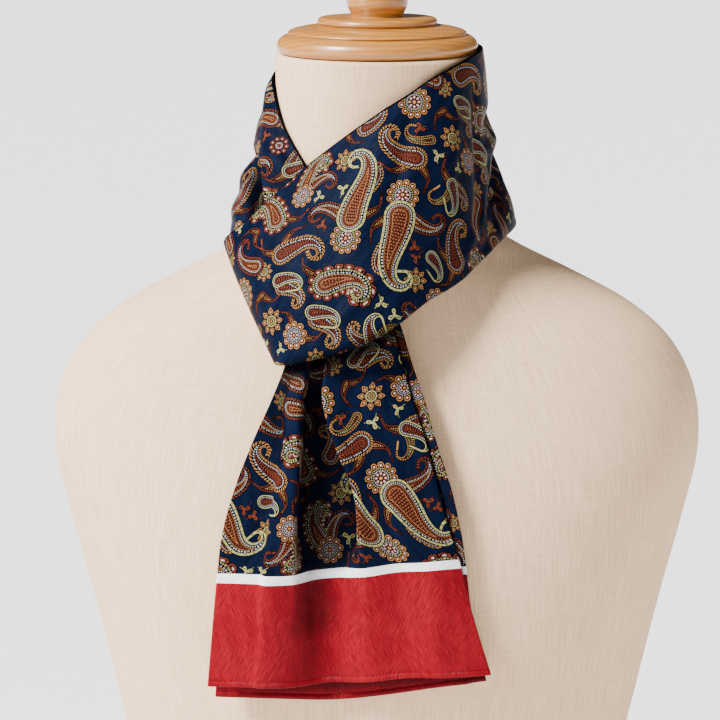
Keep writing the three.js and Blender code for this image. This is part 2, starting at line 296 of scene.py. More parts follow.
def relaxed(chart, grid, rounds=150):
    """Pull flat neighbours, for some rounds, towards being as far apart as they are on the grid."""
    links = [((slice(None, -1), slice(None)), (slice(1, None), slice(None)))]
    links += [((slice(None), slice(None, -1)), (slice(None), slice(1, None)))]
    links += [((slice(None, -1), slice(None, -1)), (slice(1, None), slice(1, None)))]
    links += [((slice(None, -1), slice(1, None)), (slice(1, None), slice(None, -1)))]
    lengths = [np.linalg.norm(grid[b] - grid[a], axis=-1) for a, b in links]
    for _ in range(rounds):
        pull = np.zeros_like(chart)
        for (a, b), length in zip(links, lengths):
            gap = chart[b] - chart[a]
            size = np.linalg.norm(gap, axis=-1)
            shift = gap * ((size - length) / np.maximum(size, 1e-6))[..., None] / 12
            pull[a] += shift
            pull[b] -= shift
        chart = chart + pull * 1.5
    return chart


# ---- the paisley print: its motifs

# Each kind is a round flower, or a drop on a bent spine: a round head of this radius, the spine's
# length, how far it bows and then curls in degrees, and the half width of its tail. Then come the
# bands from the edge inwards, in millimetres: rim, dots and the rest is core. A tooth is the rim's
# pattern: 0 none, 1 strokes, 2 dots, 3 slanted strokes. The notch is how far the edge's teeth stand
# out, at a pitch. Petals are a row of lobes outside the edge. Colours are places in PALETTE.
KIND = ("length head bow curl tail flower rim tooth notch pitch dots petals petal_pitch"
        " rim_colour dots_colour core_colour seed_colour petal_colour")
KINDS = {
    "hero": [64, 9.6, -75, 350, 0.6, 0, 1.3, 2, 0, 2.6, 1.4, 0, 3, 1, 4, 3, 2, 1],
    "comb": [38, 6.6, 40, 230, 0.6, 0, 0.8, 1, 0.25, 1.3, 1.2, 3.2, 4.6, 1, 4, 3, 2, 3],
    "scaled": [38, 6.4, 30, 250, 0.7, 0, 1.2, 3, 0.45, 1.6, 1.1, 0, 3, 2, 4, 3, 3, 1],
    "rusty": [36, 5.6, 45, 215, 0.5, 0, 1.2, 3, 0.35, 1.5, 1.0, 0, 3, 3, 4, 3, 2, 1],
    "drop": [24, 4.6, 20, 170, 0.4, 0, 0.6, 0, 0, 1.5, 1.0, 0, 3, 1, 4, 3, 3, 1],
    "amber": [28, 5.0, 35, 240, 0.5, 0, 1.0, 3, 0.35, 1.5, 1.0, 0, 3, 2, 4, 3, 3, 1],
    "slim": [26, 3.0, 60, 150, 0.4, 0, 0.7, 1, 0.2, 1.3, 0.9, 0, 3, 2, 1, 3, 3, 1],
    "rosette": [0, 6.2, 0, 0, 0, 1, 0.7, 1, 0, 1.5, 1.1, 4.2, 3.25, 1, 4, 3, 2, 2],
    "flower": [0, 4.8, 0, 0, 0, 1, 0.5, 1, 0, 1.5, 0.9, 4.2, 3.35, 4, 4, 3, 3, 2],
    "star": [0, 3.4, 0, 0, 0, 1, 0.6, 0, 0, 1.3, 0.7, 5.4, 2.67, 1, 1, 3, 2, 2],
    "daisy": [0, 4.2, 0, 0, 0, 1, 0.7, 1, 0, 1.3, 0.9, 3.6, 2.93, 3, 4, 3, 1, 3],
    "leaf": [10, 2.2, 25, 40, 0.3, 0, 0.6, 1, 0.2, 1.2, 0.8, 0, 3, 3, 2, 3, 2, 2],
    "sprig": [3.6, 1.2, 10, 30, 0.1, 0, 0.8, 0, 0, 1.4, 0.5, 0, 3, 1, 2, 2, 2, 1],
    "bud": [3.6, 1.2, 10, 30, 0.1, 0, 0.8, 0, 0, 1.4, 0.5, 0, 3, 3, 2, 2, 2, 1],
}

# The motifs' outline navy, cream, orange, rust and white, and after them the ground's navy.
PALETTE = [
    (0.0003, 0.0005, 0.0013),
    (0.255, 0.236, 0.090),
    (0.275, 0.126, 0.039),
    (0.110, 0.0240, 0.0125),
    (0.315, 0.315, 0.335),
]
NAVY = (0.0020, 0.0046, 0.0160)
TILE = (156, 144)

# What is tossed on a tile. A cluster lists its motifs as layer, kind, place, turn and size; layer 1
# lies over layer 0.
CLUSTERS = {
    "hero": [
        (1, "hero", 0, 0, 0, 1),
        (0, "rosette", -13.5, 1, 0, 1),
        (0, "rusty", 2, 8, 60, 0.9),
        (0, "scaled", 20, -8, -35, 0.66),
        (0, "leaf", 3, -10, -60, 1.2),
        (0, "star", 38, 13, 0, 0.9),
    ],
    "comb": [(1, "comb", 0, 0, 0, 1), (0, "leaf", -4, -8, -130, 1)],
    "scaled": [(1, "scaled", 0, 0, 0, 1), (0, "leaf", 5, -6, -40, 1.1), (0, "leaf", -5, -5, -140, 1)],
    "pair": [(1, "drop", 0, 0, 0, 1), (0, "amber", 2, 5, 25, 1.05)],
    "rusty": [(1, "rusty", 0, 0, 0, 1), (0, "star", -7, -3, 0, 0.7)],
    "bloom": [(1, "flower", 0, 0, 0, 1), (0, "leaf", 6, 4, 30, 1), (0, "leaf", -6, 4, 150, 1)],
    "spray": [
        (1, "drop", 0, 0, 0, 1),
        (0, "slim", 2, 3, 50, 0.85),
        (0, "amber", 2, -3, -50, 0.8),
        (0, "leaf", -3, 1.5, 165, 1.2),
    ],
    "crest": [(1, "flower", 0, 0, 0, 0.85), (0, "comb", 8, 0, 10, 0.75), (0, "rusty", 5, 4, 50, 0.75)],
    "leaf": [(1, "leaf", 0, 0, 0, 1), (1, "leaf", -1, 2.5, 120, 0.8)],
}
for kind, size in (("rosette", 1.05), ("star", 1), ("amber", 1), ("daisy", 0.85), ("slim", 1), ("drop", 0.9)):
    CLUSTERS[kind] = [(1, kind, 0, 0, 0, size)]
for kind, ahead, back, aside in (("sprig", 2.9, -1.1, 2.4), ("bud", 2.6, -0.9, 2.1)):
    CLUSTERS[kind] = [(1, kind, ahead, 0, 180, 1)]
    CLUSTERS[kind] += [(1, kind, back, aside * way, -65 * way, 0.9) for way in (1, -1)]
TOSSED = 2 * ["hero", "crest"] + 3 * ["comb", "scaled"] + 2 * ["pair", "spray"] + 4 * ["rusty"]
TOSSED += ["rosette"] + 2 * ["bloom", "star"] + 6 * ["amber"] + 4 * ["drop", "slim"] + ["daisy"]
TOSSED += 5 * ["leaf"] + 7 * ["sprig", "bud"]
TOSS_SEED, TRIES = 11, 6000
CLEARANCE = 2.2
NO_ROOM = 1e3
SPINE_POINTS = 40


def spine(kind, size):
    """A motif's spine as points from the middle of its head, with each one's half width and distance."""
    shape = dict(zip(KIND.split(), KINDS[kind]))
    share = np.linspace(0, 1, SPINE_POINTS)
    heading = np.radians(shape["bow"] * share + shape["curl"] * share ** 3.2)
    step = shape["length"] * size / (SPINE_POINTS - 1)
    x = np.concatenate([[0], np.cumsum(np.cos(heading[1:]) * step)])
    y = np.concatenate([[0], np.cumsum(np.sin(heading[1:]) * step)])
    body = shape["head"] * size * np.clip(1 - share ** 1.25, 0, 1) ** 0.95
    width = np.maximum(body, shape["tail"] * size * (1 + 0.5 * np.exp(-(((share - 0.96) / 0.05) ** 2))))
    if shape["flower"]:
        width = np.full(SPINE_POINTS, shape["head"] * size)
    return np.stack([x, y], -1), width, share * shape["length"] * size


def turned(points, degrees):
    """Flat points turned round the origin."""
    c, s = math.cos(math.radians(degrees)), math.sin(math.radians(degrees))
    return points @ np.array([[c, s], [-s, c]])


class Motif:
    """One drawn motif: its kind's values, and its spine where it lies on the tile."""

    def __init__(self, layer, kind, place, turn, size, flip):
        self.layer, self.kind, self.size = layer, kind, size
        self.shape = dict(zip(KIND.split(), KINDS[kind]))
        points, self.width, self.at = spine(kind, size)
        self.points = turned(points * [1, flip], turn) + place
        self.reach = self.width + self.shape["petals"] * size

    def measured(self, points, near=None, window=4):
        """Each point's place on the spine, offset sideways, half width and step; near limits the steps."""
        a, b = self.points[:-1], self.points[1:]
        if self.shape["flower"]:
            local = points - self.points[0]
            width = np.full(len(points), self.width[0])
            return local[:, 0], local[:, 1], width, np.zeros(len(points), int)
        step = b - a
        length = np.linalg.norm(step, axis=1)
        ahead = step / length[:, None]
        offset = points[:, None] - a[None]
        run = (offset * ahead[None]).sum(-1)
        low = np.where(np.arange(len(a)) == 0, -1e3, 0)
        high = np.where(np.arange(len(a)) == len(a) - 1, length + 2, length)
        run = np.clip(run, low, high)
        gap = offset - run[..., None] * ahead[None]
        side = ahead[None, :, 0] * gap[..., 1] - ahead[None, :, 1] * gap[..., 0]
        beyond = np.minimum(run, 0) * (np.arange(len(a)) == 0)
        width = self.width[:-1] + (self.width[1:] - self.width[:-1]) * np.clip(run / length, 0, 1)
        inside = width - np.hypot(np.linalg.norm(gap, axis=-1), beyond)
        if near is not None:
            inside = np.where(np.abs(np.arange(len(a))[None] - near[:, None]) <= window, inside, -1e6)
        best = inside.argmax(1)
        pick = np.arange(len(points)), best
        return (self.at[:-1][best] + run[pick]), side[pick], width[pick], best


def tossed_tile():
    """The print's repeat: each cluster laid where it fits closest among many tries, or left out."""
    draw = np.random.default_rng(TOSS_SEED)
    tile = np.array(TILE, float)
    spots = np.stack(np.meshgrid(*(np.arange(side) + 0.5 for side in TILE), indexing="ij"), -1)
    room = np.full(TILE, 40.0)
    laid = []
    for name in TOSSED:
        size = draw.uniform(0.92, 1.08)
        flip = draw.choice([-1, 1])
        members = [
            Motif(layer, kind, np.array([x, y * flip]) * size, turn * flip, size * share, flip)
            for layer, kind, x, y, turn, share in CLUSTERS[name]
        ]
        discs = np.concatenate([motif.points[::3] for motif in members])
        radii = np.concatenate([motif.reach[::3] for motif in members])
        turns = draw.uniform(0, 2 * math.pi, TRIES)
        places = draw.uniform(0, 1, (TRIES, 2)) * tile
        c, s = np.cos(turns)[:, None], np.sin(turns)[:, None]
        x = places[:, :1] + c * discs[:, 0] - s * discs[:, 1]
        y = places[:, 1:] + s * discs[:, 0] + c * discs[:, 1]
        spare = room[x.astype(int) % TILE[0], y.astype(int) % TILE[1]] - radii
        loose = spare.mean(1) + NO_ROOM * (spare.min(1) < CLEARANCE)
        best = loose.argmin()
        if loose[best] > NO_ROOM / 2:
            continue
        for motif in members:
            motif.points = turned(motif.points, math.degrees(turns[best])) + places[best]
            laid.append(motif)
        for motif in members:
            for point, radius in zip(motif.points[::2], motif.reach[::2]):
                gap = np.abs(spots - point) % tile
                gap = np.minimum(gap, tile - gap)
                room = np.minimum(room, np.linalg.norm(gap, axis=-1) - radius)
    return laid


def lay_print(piece, chart, tile_motifs):
    """Give each face of a piece its motif of each layer, as attributes of the face and its corners."""
    mesh = piece.data
    corners = chart[np.array([loop.vertex_index for loop in mesh.loops])].reshape(-1, 4, 2)
    middle = corners.mean(1)
    tile = np.array(TILE, float)
    for layer in (0, 1):
        best = np.full(len(middle), -6.0)
        place = np.zeros((len(middle), 4, 3))
        place[..., 2] = -100
        facts = {name: np.zeros((len(middle), 3)) for name in ("size", "bands", "lobes", "inks", "core")}
        facts["size"][:] = (1, 0, 1)
        for motif in (m for m in tile_motifs if m.layer == layer):
            heart = motif.points.mean(0)
            reach = np.linalg.norm(motif.points - heart, axis=1).max() + motif.reach.max() + 3
            shift = tile * np.round((middle - heart) / tile)
            near = np.nonzero(np.linalg.norm(middle - shift - heart, axis=1) < reach)[0]
            if not len(near):
                continue
            s, t, w, at = motif.measured(middle[near] - shift[near])
            back = s if motif.shape["flower"] else np.minimum(s, 0)
            inside = w - np.hypot(back, t) + motif.shape["petals"] * motif.size
            wins = inside > best[near]
            chosen = near[wins]
            best[chosen] = inside[wins]
            for k in range(4):
                s, t, w, _ = motif.measured(corners[chosen, k] - shift[chosen], at[wins])
                place[chosen, k] = np.stack([s, t, w], -1)
            shape, size = motif.shape, motif.size
            facts["size"][chosen] = (shape["head"] * size, FLOWER_MARK * shape["flower"], shape["pitch"])
            facts["bands"][chosen] = (shape["rim"] * size, shape["dots"] * size, shape["notch"])
            facts["lobes"][chosen] = (shape["petals"] * size, shape["petal_pitch"] * size, shape["tooth"])
            facts["inks"][chosen, :2] = [shape[k] for k in ("rim_colour", "dots_colour")]
            facts["core"][chosen] = [shape[k] for k in ("core_colour", "seed_colour", "petal_colour")]
        store(mesh, f"motif{layer}", "CORNER", place.reshape(-1, 3))
        for name, values in facts.items():
            store(mesh, f"{name}{layer}", "FACE", values)


def store(mesh, name, domain, values):
    """Values in threes as a named attribute of a mesh."""
    attribute = mesh.attributes.new(name, "FLOAT_VECTOR", domain)
    attribute.data.foreach_set("vector", np.ascontiguousarray(values, np.float32).ravel())


# ---- sums of shader nodes


class Field:
    """A number that shader nodes work out, with the usual signs."""

    tree = None

    def __init__(self, socket):
        self.socket = socket


def sign(operation, swapped=False):
    """What one of the signs does between a field and a field or number."""
    if swapped:
        return lambda field, other: sum_of(operation, other, field)
    return lambda field, other: sum_of(operation, field, other)


for name, operation in (("add", "ADD"), ("sub", "SUBTRACT"), ("mul", "MULTIPLY")):
    setattr(Field, f"__{name}__", sign(operation))
    setattr(Field, f"__r{name}__", sign(operation, swapped=True))
Field.__truediv__ = sign("DIVIDE")
Field.__gt__ = sign("GREATER_THAN")
Field.__lt__ = sign("LESS_THAN")
Field.__neg__ = lambda field: sum_of("MULTIPLY", field, -1)


def plug(slot, value):
    """A field or a plain number into a node's slot."""
    if isinstance(value, Field):
        Field.tree.links.new(value.socket, slot)
    else:
        slot.default_value = value


def sum_of(operation, *values):
    node = Field.tree.nodes.new("ShaderNodeMath")
    node.operation = operation
    for slot, value in zip(node.inputs, values):
        plug(slot, value)
    return Field(node.outputs[0])


def lower(a, b):
    return sum_of("MINIMUM", a, b)


def higher(a, b):
    return sum_of("MAXIMUM", a, b)


def size_of(a):
    return sum_of("ABSOLUTE", a)


def round_distance(a, b):
    return sum_of("SQRT", a * a + b * b)


def wave_place(along_it, pitch, phase=0.5):
    """Where a point lies in its repeat, from -0.5 to 0.5."""
    return sum_of("FRACT", along_it / pitch + phase) - 0.5


def parts_of(name):
    """The three parts of a mesh attribute, as fields."""
    attribute = Field.tree.nodes.new("ShaderNodeAttribute")
    attribute.attribute_name = name
    split = Field.tree.nodes.new("ShaderNodeSeparateXYZ")
    Field.tree.links.new(attribute.outputs["Vector"], split.inputs[0])
    return [Field(socket) for socket in split.outputs]


def mixed(share, under, over):
    """One colour over another by a share."""
    node = Field.tree.nodes.new("ShaderNodeMix")
    node.data_type = "RGBA"
    plug(node.inputs[0], share)
    for slot, colour in ((node.inputs[6], under), (node.inputs[7], over)):
        if isinstance(colour, tuple):
            slot.default_value = (*colour, 1)
        else:
            Field.tree.links.new(colour, slot)
    return node.outputs[2]


def stacked(measure, colour, *steps):
    """Colours over one another, each where a measure is under its limit."""
    for limit, over in steps:
        colour = mixed(measure < limit, colour, over)
    return colour


def ink(number):
    """The palette's colour at a number that an attribute gives."""
    node = Field.tree.nodes.new("ShaderNodeValToRGB")
    ramp = node.color_ramp
    ramp.interpolation = "CONSTANT"
    while len(ramp.elements) < len(PALETTE):
        ramp.elements.new(0.5)
    for place, (element, colour) in enumerate(zip(ramp.elements, PALETTE)):
        element.position = max((place - 0.5) / len(PALETTE), 0)
        element.color = (*colour, 1)
    plug(node.inputs[0], number / len(PALETTE))
    return node.outputs[0]


LINE = 0.4
STROKE_PITCH = 1.7
SECOND_BAND = 1.3
SCALE_LONG, SCALE_WIDE = 1.9, 1.7
FLORETS = 8
# Distances along a spine count as round up to 0, the middle of the head, or up to this for a flower.
FLOWER_MARK = 1000


def motif_colour(layer, ground):
    """The ground's colour with one layer of motifs over it."""
    s, t, width = parts_of(f"motif{layer}")
    head, limit, pitch = parts_of(f"size{layer}")
    rim, dots, notch = parts_of(f"bands{layer}")
    petals, petal_pitch, tooth = parts_of(f"lobes{layer}")
    rim_ink, dots_ink = (ink(number) for number in parts_of(f"inks{layer}")[:2])
    core_ink, seed_ink, petal_ink = (ink(number) for number in parts_of(f"core{layer}"))
    dark = PALETTE[0]
    bloom = limit > FLOWER_MARK / 2

    behind = lower(s, limit)
    depth = width - round_distance(behind, t)
    border = head * sum_of("ARCTAN2", size_of(t), -behind) + higher(s - limit, 0)

    lobe = wave_place(border, petal_pitch) * 2.1
    rise = (depth + petals * 0.42) / higher(petals * 0.58, 0.001)
    spread = size_of(lobe) + size_of(rise) * 0.95
    pointed = (tooth < 0.5) * bloom
    petal = (lobe * lobe + rise * rise) * (1 - pointed) + spread * spread * pointed
    petal = petal + (petals < 0.1) * 10 + (depth < -20) * 10
    steps = (1.25, dark), (0.8, petal_ink), (0.46, dark), (0.26, core_ink), (0.07, dots_ink)
    colour = stacked(petal, ground, *steps)

    place = wave_place(border, pitch)
    beat = size_of(place) * 2
    edge = depth + notch * (0.6 - beat * beat)
    colour = mixed(edge > -LINE, colour, dark)
    colour = mixed(edge > 0, colour, rim_ink)
    slanted = size_of(wave_place(border + depth * 0.7 * (tooth > 2.5), pitch)) * 2
    gap = (slanted > 0.42) * (edge > 0.1) * (1 - (tooth < 0.5)) * (1 - dotted(tooth))
    colour = mixed(gap, colour, dark)
    spot = round_distance(wave_place(border, pitch * 1.4) * pitch * 1.4, depth - rim * 0.5)
    colour = mixed((spot < rim * 0.3) * dotted(tooth), colour, dark)

    colour = mixed(depth > rim, colour, dark)
    bead_pitch = dots * 1.25
    bead = round_distance(wave_place(border, bead_pitch) * bead_pitch, depth - rim - LINE - dots * 0.5)
    colour = mixed((bead < dots * 0.34) * (depth > rim), colour, dots_ink)
    inner = depth - rim - dots - LINE * 1.5
    line = mixed(inner > 0, colour, seed_ink)
    line = mixed(inner > LINE * 0.7, line, dark)
    stroke = size_of(wave_place(border - inner * 0.8, STROKE_PITCH)) * 2
    line = mixed((stroke < 0.45) * (inner > LINE * 1.6), line, core_ink)
    line = mixed(inner > LINE * 1.6 + SECOND_BAND, line, seed_ink)
    heart = inner - LINE * 2.2 - SECOND_BAND
    run = sum_of("FRACT", s / SCALE_LONG)
    odd = sum_of("FRACT", (s / SCALE_LONG - run) * 0.5 + 0.1) > 0.5
    across = wave_place(t, SCALE_WIDE, 0.5 + 0.5 * odd) * SCALE_WIDE
    scale = round_distance((run - 0.5) * SCALE_LONG, across)
    scales = stacked(scale, dark, (0.8, core_ink), (0.52, dark), (0.28, seed_ink))
    line = mixed(heart > 0, line, scales)

    floret_pitch = head * (2 * math.pi / FLORETS)
    ray = wave_place(border, floret_pitch) * 2.1
    out = (width - depth - head * 0.46) / (head * 0.24)
    floret = ray * ray + out * out
    disc = stacked(floret, dark, (0.8, core_ink), (0.22, dots_ink))
    disc = mixed(width - depth < head * 0.17, disc, petal_ink)
    colour = mixed((inner > 0) * (1 - bloom), colour, line)
    colour = mixed((inner > -0.2) * bloom, colour, disc)
    return mixed(higher(petal < 1.25, edge > -LINE), ground, colour)


def dotted(tooth):
    """1 for rims with dots, 0 for others."""
    return (tooth > 1.5) * (tooth < 2.5)


# ---- meshes


def placed(name, data):
    """A new object of some data, in the scene."""
    thing = bpy.data.objects.new(name, data)
    bpy.context.scene.collection.objects.link(thing)
    return thing


def new_object(name, vertices, faces):
    """A smooth mesh object from vertices in millimetres, riding on the part's one body."""
    mesh = bpy.data.meshes.new(name)
    mesh.from_pydata((vertices * MM).tolist(), [], faces)
    mesh.shade_smooth()
    piece = placed(name, mesh)
    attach(piece, "root")
    return piece


def cloth_piece(name, grid, level, tile_motifs, print_shift, shade=0):
    """A closed thin shell on both sides of a grid, with its flat places, its print and its painted shade as
    attributes.
    """
    rows, columns = grid.shape[:2]
    normal = grid_normals(grid)
    half = CLOTH_THICKNESS / 2
    sides = [grid + normal * half, grid - normal * half]
    rim_index = [(i, 0) for i in range(rows)] + [(rows - 1, j) for j in range(1, columns)]
    rim_index += [(i, columns - 1) for i in range(rows - 2, -1, -1)]
    rim_index += [(0, j) for j in range(columns - 2, 0, -1)]
    inner = [(min(max(i, 1), rows - 2), min(max(j, 1), columns - 2)) for i, j in rim_index]
    edge = np.array([grid[a] for a in rim_index])
    rim = edge + unit(edge - np.array([grid[a] for a in inner])) * half
    vertices = np.concatenate([sides[0].reshape(-1, 3), sides[1].reshape(-1, 3), rim])
    number = np.arange(rows * columns).reshape(rows, columns)
    a, b, c, d = number[:-1, :-1], number[1:, :-1], number[1:, 1:], number[:-1, 1:]
    front = np.stack([a, b, c, d], -1).reshape(-1, 4)
    back = np.stack([a, d, c, b], -1).reshape(-1, 4) + rows * columns
    loop = np.array([number[i] for i in rim_index])
    after = np.roll(loop, -1)
    ring = 2 * rows * columns + np.arange(len(loop))
    ring_after = np.roll(ring, -1)
    front_rim = np.stack([loop, ring, ring_after, after], -1)
    back_rim = np.stack([ring, loop + rows * columns, after + rows * columns, ring_after], -1)
    faces = np.concatenate([front, back, front_rim, back_rim])
    piece = new_object(name, vertices, faces.tolist())
    chart = flattened(grid)
    flat = np.concatenate([chart, np.broadcast_to(level[:, None, None], (rows, columns, 1))], -1)
    flat = flat.reshape(-1, 3)
    flat = np.concatenate([flat, flat, flat[loop]])
    store(piece.data, "cloth", "POINT", flat)
    hem = along(grid[:, columns // 2])
    hem = np.broadcast_to((hem[-1] - hem)[:, None], (rows, columns))
    # The trim attribute holds each point's distance from the top edge, its height above the hem and the
    # piece's painted shade.
    trim = np.stack([along_rows(grid), hem, hem * 0 + shade], -1).reshape(-1, 3)
    store(piece.data, "trim", "POINT", np.concatenate([trim, trim, trim[loop]]))
    lay_print(piece, flat[:, :2] + print_shift, tile_motifs)
    return piece


def solid_of_rings(name, rings):
    """A closed body through rings of points, lowest first."""
    sides = rings.shape[1]
    vertices = np.concatenate([rings.reshape(-1, 3), [rings[0].mean(0), rings[-1].mean(0)]])
    k = np.arange(sides)
    after = (k + 1) % sides
    faces = []
    for r in range(len(rings) - 1):
        low, high = r * sides, (r + 1) * sides
        faces += np.stack([low + k, low + after, high + after, high + k], -1).tolist()
    last = (len(rings) - 1) * sides
    faces += np.stack([np.full(sides, len(vertices) - 2), after, k], -1).tolist()
    faces += np.stack([np.full(sides, len(vertices) - 1), last + k, last + after], -1).tolist()
    return new_object(name, vertices, faces)


# ---- hanging tails

FRONT_TAIL = table(
    "up face left narrow_left narrow_right deep fold flat right"
    " left_back narrow_back deep_back right_back skew", [
        [484, 99, -44, -40, -34, -30, -26, -14, 0, 3, 1, 2, 2, 0],
        [462, 109, -48, -43, -36, -32, -27, -9, 8, 5, 1, 3.5, 3, 0],
        [440, 114, -54, -49, -40, -37, -31, -5, 14, 7, 2, 4, 4, 0],
        [420, 120, -62, -54.5, -44.5, -40, -32, -2, 20, 7, 1, 8.2, 5, 0],
        [396, 126, -73, -55, -45.5, -37.5, -25, 3, 28, 8, 0.5, 10, 5, 0],
        [368, 131.5, -84, -60, -47.5, -36, -14, 10, 35.5, 8, 0.5, 10.6, 5.5, 0],
        [342, 134.5, -91, -64, -49, -35, -12, 14, 42, 8, 0.5, 9, 5.5, 2],
        [318, 135.5, -94, -66, -50, -33, -12, 17, 47.5, 7.5, 0.5, 8, 5.5, 9],
        [286, 136, -97, -68, -52, -30, -13, 22, 55.5, 6, 0.5, 8.5, 6, 8.5],
        [251.8, 136, -100, -70, -54, -29, -10, 26, 66.5, 5, 0.5, 6.5, 6.5, 6.5],
    ])
BACK_TAIL = table("up face left middle right left_back middle_back right_back skew", [
    [484, 93, -40, -20, 4, 2, 0, 2, 0],
    [462, 102.5, -44, -18, 13, 2, 0, 2, 0],
    [440, 107.5, -50, -17, 20, 3, 0, 0, 0],
    [420, 110.5, -58, -15, 27, 4, 0, -4, 0],
    [396, 114.5, -69, -15, 34, 6, 0, -6.5, 0],
    [368, 119.3, -80, -17, 43, 7, 0, -7, 0],
    [342, 124, -87, -20, 48.5, 7.5, 0, -4, 1],
    [318, 125.3, -90, -20, 51.5, 7.5, 0, -2.5, 5],
    [286, 125.8, -93, -18, 55, 7.5, 0, 2, 9],
    [241.7, 125.8, -96, -15, 64, 7.5, 0, 4, 11],
])
# The x between which the skew of each tail comes in.
FRONT_SKEW, BACK_SKEW = (-70, 40), (-40, 75)
# The back tail turns forward or back near its right edge, over three even steps of this width.
TURN_STEP = 6
HEM_DEPTH = 3.2
# How far above a tail's edge its even rows end, and how many finer ones follow.
HEM_ROWS_FROM, HEM_ROWS = 6, 12


def hem_rise(height):
    """How far a sewn hem stands out at a height above its edge: a soft roll under a stitched line."""
    roll = 0.5 * np.exp(-(((height - 1.2) / 1.2) ** 2))
    return roll - 0.3 * np.exp(-(((height - HEM_DEPTH) / 0.6) ** 2))


def tail_grid(rows, outline, skew_span, width):
    """A hanging tail's grid, downwards and then to the right, with its rows' named values."""
    columns, values = rows
    ups = values[:, 0]
    drop = np.linspace(0, len(ups) - 1, 400)
    top, foot = ups[0], ups[-1]
    hem_top = foot + HEM_ROWS_FROM
    count = int((top - hem_top) / WEAVE_STEP)
    hem_rows = np.linspace(hem_top - 0.5, foot, HEM_ROWS)
    levels = np.concatenate([np.linspace(top, hem_top, count), hem_rows])
    heights = smooth(values, drop)[:, 0]
    u = np.interp(levels, heights[::-1], drop[::-1])
    row = named(columns, smooth(values, u))
    points = np.stack([np.stack([x, back - row["face"]], -1) for x, back in outline(row)], 1)
    lines = []
    across = int(width / WEAVE_STEP)
    for level, skew, up in zip(points, row["skew"], levels):
        fine = smooth(level, np.linspace(0, len(level) - 1, 300))
        length = along(fine)
        even = np.linspace(0, length[-1], across + 1)
        x, y = (np.interp(even, length, fine[:, k]) for k in (0, 1))
        lines.append(np.stack([x, y - hem_rise(up - foot), up + skew * blend(x, *skew_span)], -1))
    return np.array(lines), row


# How far the cloth beside the pleat stands forward of the tail's face.
PROUD = 3.5


def front_outline(row):
    """The front tail's line, left to right, with a pleat that is steep above and soft below."""
    steep = blend(row["up"], 308, 345)
    near, far = row["narrow_right"], row["fold"]
    deep, back = row["deep"], row["deep_back"]

    def between(soft, sharp):
        return soft + (sharp - soft) * steep

    return [
        (row["left"], row["left_back"]),
        (row["narrow_left"] - between(6, 4), between(0.6, 0.9) * row["left_back"]),
        (row["narrow_left"] - between(2, 0.5), between(0.3, 0.4) * row["left_back"]),
        (row["narrow_left"] + 1, row["narrow_back"] - PROUD * 0.5 * steep),
        (near - 1, -PROUD * steep),
        (between(near + (deep - near) * 0.35, near + 1.2), between(0.27, 0.5) * back),
        (between(near + (deep - near) * 0.7, near + 2.5), between(0.8, 0.97) * back),
        (deep, back),
        (between(deep + (far - deep) * 0.4, far + 3), between(0.8, 0.98) * back),
        (between(deep + (far - deep) * 0.75, far + 1), between(0.3, 0.45) * back),
        (far + between(4, 0.5), -PROUD * steep),
        (far + between(10, 8), -PROUD * 0.5 * steep),
        ((far + row["flat"]) / 2 + between(10, 4), between(2.6, 0.4)),
        (row["flat"] + between(13, 2), 0 * steep),
        (row["right"], row["right_back"]),
    ]


def back_outline(row):
    """The back tail's line, left to right, its right edge turned forward or back."""
    return [
        (row["left"], row["left_back"]),
        (row["middle"], row["middle_back"]),
        (row["right"] - 3 * TURN_STEP, row["middle_back"]),
        (row["right"] - 2 * TURN_STEP, 0.1 * row["right_back"]),
        (row["right"] - TURN_STEP, 0.65 * row["right_back"]),
        (row["right"], row["right_back"]),
    ]


# ---- dress form and cap

FORM = table("up half_width front rear squareness", [
    [0, 155, 108, 108, 2.3],
    [45, 149, 105, 103, 2.3],
    [95, 143, 102, 97, 2.3],
    [150, 148, 108, 99, 2.3],
    [220, 163, 118, 106, 2.3],
    [280, 177, 124, 112, 2.3],
    [330, 190, 123, 115, 2.3],
    [370, 199, 116, 113, 2.3],
    [405, 197, 106, 108, 2.3],
    [435, 183, 96, 102, 2.25],
    [458, 158, 86, 95, 2.2],
    [478, 122, 77, 87, 2.1],
    [494, 90, 70, 79, 2],
    [507, 71, 65.5, 71, 2],
    [525, 63.5, 63, 65, 2],
    [555, 62, 62, 62.5, 2],
    [613, 62, 62, 62, 2],
])
FORM_SIDES, FORM_ROWS = 180, 200
CAP_SIDES, CAP_FINER = 128, 4
CAP = table("radius up", [
    [0, 0], [57, 0], [59.8, 1], [61.2, 3.4], [61.2, 5.8], [59.8, 8.6], [57, 10.7], [55, 11.4],
    [53.9, 11.6], [53.9, 12.1], [54.5, 12.7], [53.2, 13.9], [50.5, 14.9], [47, 15.7],
    [41.5, 16.6], [37, 17.1], [35.6, 17.3], [35.6, 17.8], [36.5, 18.4], [36.5, 19.9],
    [35.4, 21.3], [32.5, 22], [17.5, 22.3], [15.8, 22.8], [16.6, 25], [18.3, 28.5],
    [18.6, 31.5], [18, 36], [14.6, 43], [11, 48.5], [10.2, 53],
    [12, 57.4], [15.2, 62], [15.8, 67.5], [13.6, 73], [8.6, 77.2], [0.2, 78.6],
])
CAP_SEAT = 613.3


def form_rings():
    """The form's rings, lowest first, as ovals of the table's squareness."""
    columns, values = FORM
    fine = smooth(values, np.linspace(0, len(values) - 1, FORM_ROWS))
    row = {name: value[:, None] for name, value in named(columns, fine).items()}
    turn = np.linspace(0, 2 * math.pi, FORM_SIDES, endpoint=False)[None, :]
    c, s = np.cos(turn), np.sin(turn)
    power = 2 / row["squareness"]
    depth = np.where(s < 0, row["front"], row["rear"])
    x = row["half_width"] * np.sign(c) * np.abs(c) ** power
    y = depth * np.sign(s) * np.abs(s) ** power
    return np.stack([x, y, row["up"] + 0 * x], -1)


